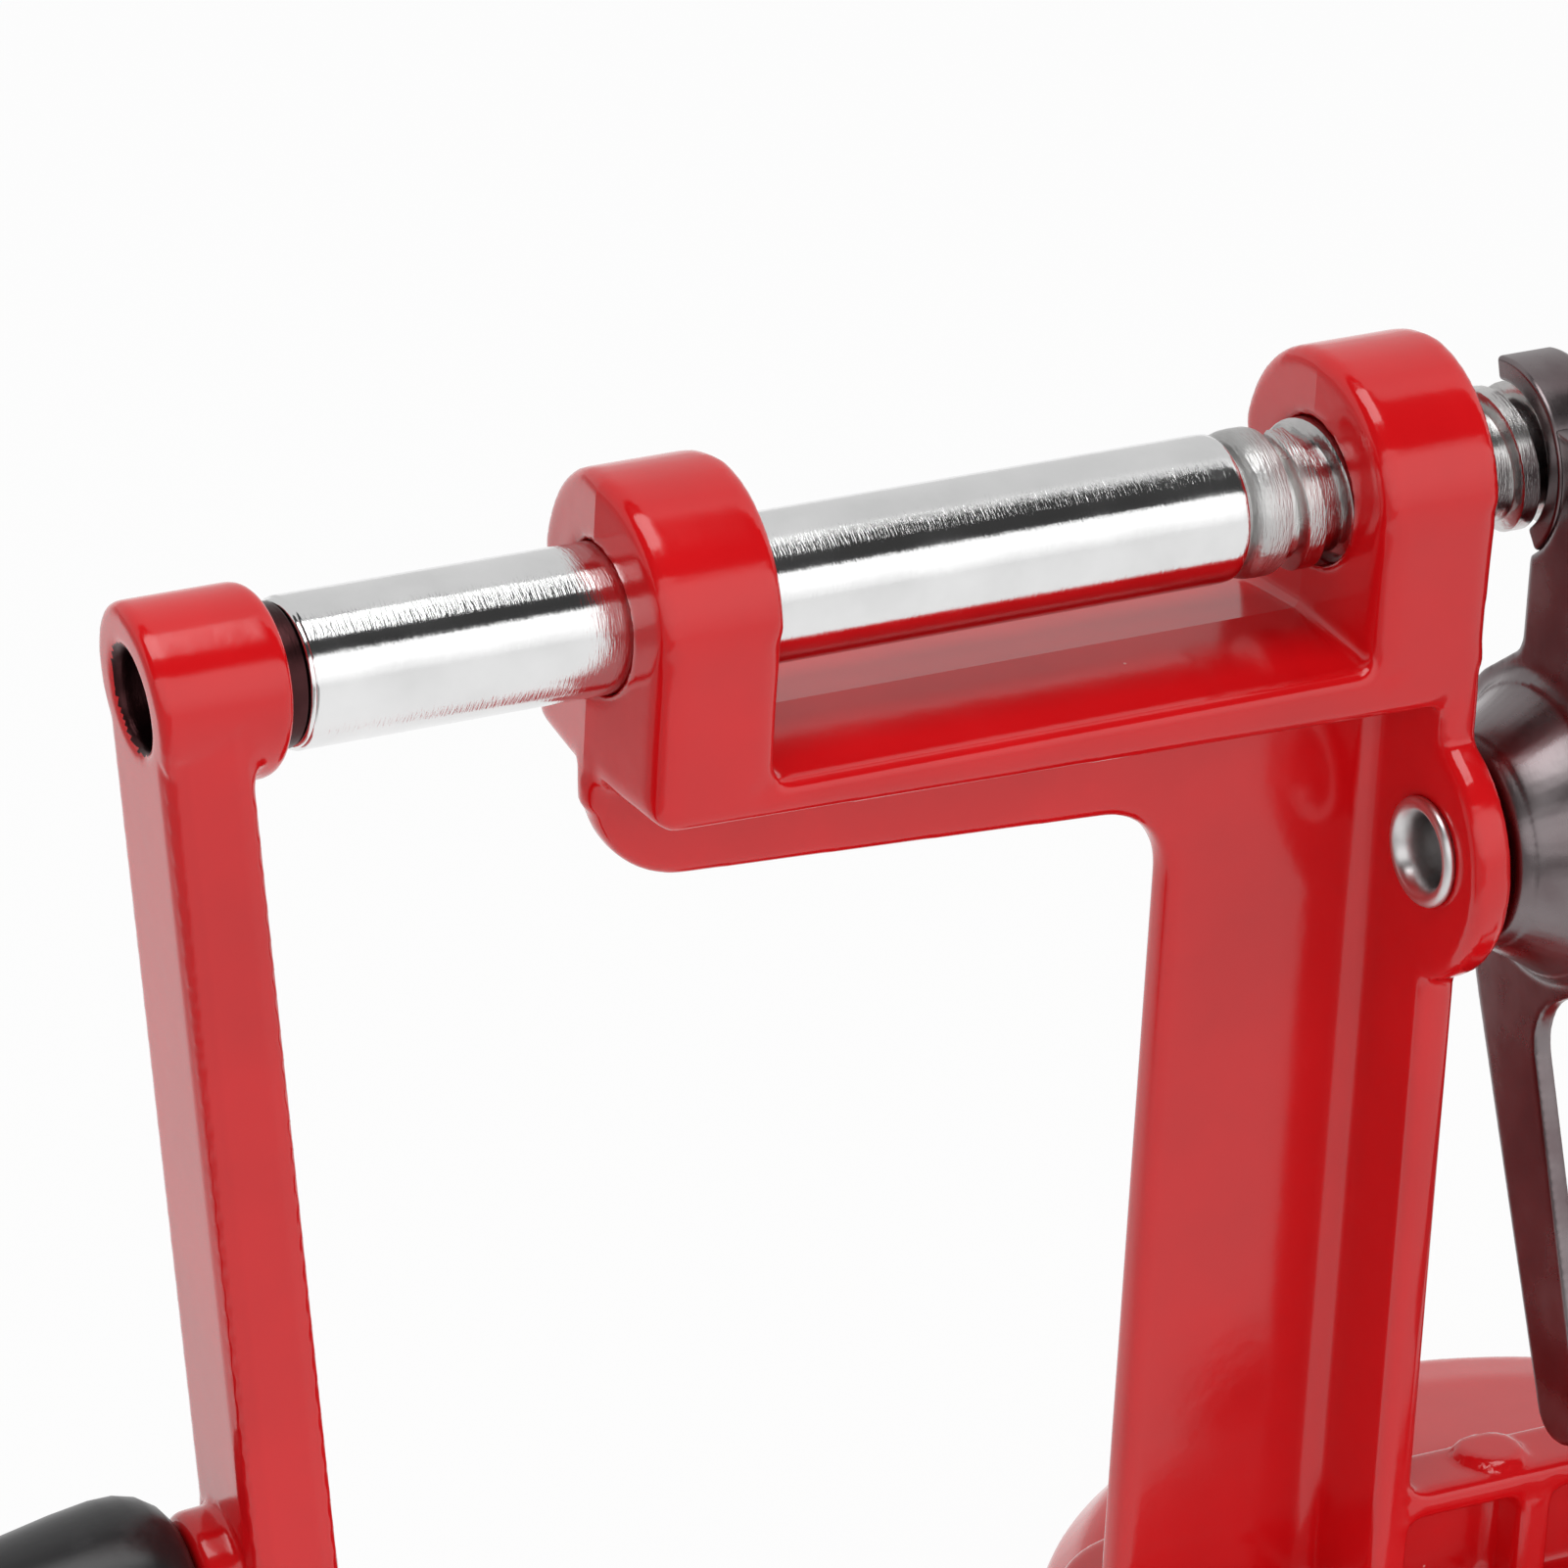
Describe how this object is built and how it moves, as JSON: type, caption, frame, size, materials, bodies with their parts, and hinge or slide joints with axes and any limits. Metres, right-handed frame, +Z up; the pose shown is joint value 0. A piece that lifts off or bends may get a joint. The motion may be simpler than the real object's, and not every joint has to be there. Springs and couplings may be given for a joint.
{
  "type": "hand cranked spiral potato cutter",
  "caption": "Hand-cranked spiral potato cutter: red cast frame on a round suction base, threaded feed shaft with crank and fork, fixed spiral blade.",
  "frame": {"origin": "centre of the round base in the plane of its lower ring, on the table", "axes": "+X along the feed shaft from the crank towards the blade, +Z up from the table, -Y is the side with the release lever"},
  "size_m": [0.325, 0.1148, 0.15],
  "materials": {
    "red_enamel": "gloss enamel over cast metal",
    "zinc_screws": "zinc plated",
    "cup_rubber": "matt",
    "plain_steel": "plain",
    "plated_lever": "dark nickel plate",
    "plated_rivet": "bright nickel plate",
    "spring_steel": "bright wire",
    "polished_shaft": "polished with fine scratches",
    "black_grip": "satin moulded",
    "prong_steel": "polished",
    "blade_steel": "ground"
  },
  "bodies": {
    "frame": {"frame_casting": "red_enamel", "base_housing": "red_enamel", "base_screws": "zinc_screws", "blade_rail": "red_enamel", "rail_screws": "zinc_screws", "blade_post": "red_enamel", "rail_knob": "zinc_screws", "spiral_blade": "blade_steel", "blade_screws": "zinc_screws", "pivot_rivet": "plated_rivet", "pivot_washer": "plated_rivet", "lever_spring": "spring_steel"},
    "feed_carriage": {"thrust_washer": "plated_lever"},
    "shaft": {"feed_shaft": "polished_shaft", "crank_arm": "red_enamel", "crank_pin": "plain_steel", "grip_axle": "plain_steel", "fork_hub": "polished_shaft", "fork_prongs": "prong_steel", "fork_set_screw": "zinc_screws"},
    "grip": {"handle_grip": "black_grip"},
    "release_lever": {"release_lever": "plated_lever", "half_nut": "plated_lever"},
    "suction_lever": {"cam_shaft": "plain_steel", "suction_lever": "red_enamel", "cam_screw": "zinc_screws"},
    "suction_stem": {"suction_stem": "plain_steel", "suction_cup": "cup_rubber"}
  },
  "joints": [
    {"name": "feed_slide", "type": "slide", "parent": "frame", "child": "feed_carriage", "axis": [1, 0, 0], "range_m": [-0.06, 0.024]},
    {"name": "crank_turn", "type": "hinge", "parent": "feed_carriage", "child": "shaft", "pos_m": [-0.1292, 0, 0.136], "axis": [1, 0, 0], "range_deg": [-5400, 2160]},
    {"name": "grip_spin", "type": "hinge", "parent": "shaft", "child": "grip", "pos_m": [-0.15948, 0.00314, 0.05398], "axis": [-0.9853, 0.1045, -0.135], "continuous": true},
    {"name": "jaw_release", "type": "hinge", "parent": "frame", "child": "release_lever", "pos_m": [-0.0175, -0.0102, 0.1074], "axis": [1, 0, 0], "range_deg": [0, 10], "stiffness_Nm_per_rad": 0.3, "springref_deg": -20.05},
    {"name": "suction_turn", "type": "hinge", "parent": "frame", "child": "suction_lever", "pos_m": [0, -0.0543, 0.0185], "axis": [0, -1, 0], "range_deg": [0, 170]},
    {"name": "suction_lift", "type": "slide", "parent": "frame", "child": "suction_stem", "axis": [0, 0, 1], "range_m": [0, 0.003], "deforming": ["suction_cup"]}
  ],
  "couplings": [
    {"joint": "feed_slide", "follows": "crank_turn", "m_per_rad": 0.00063662},
    {"joint": "suction_lift", "follows": "suction_turn", "m_per_rad": 0.0010111}
  ]
}
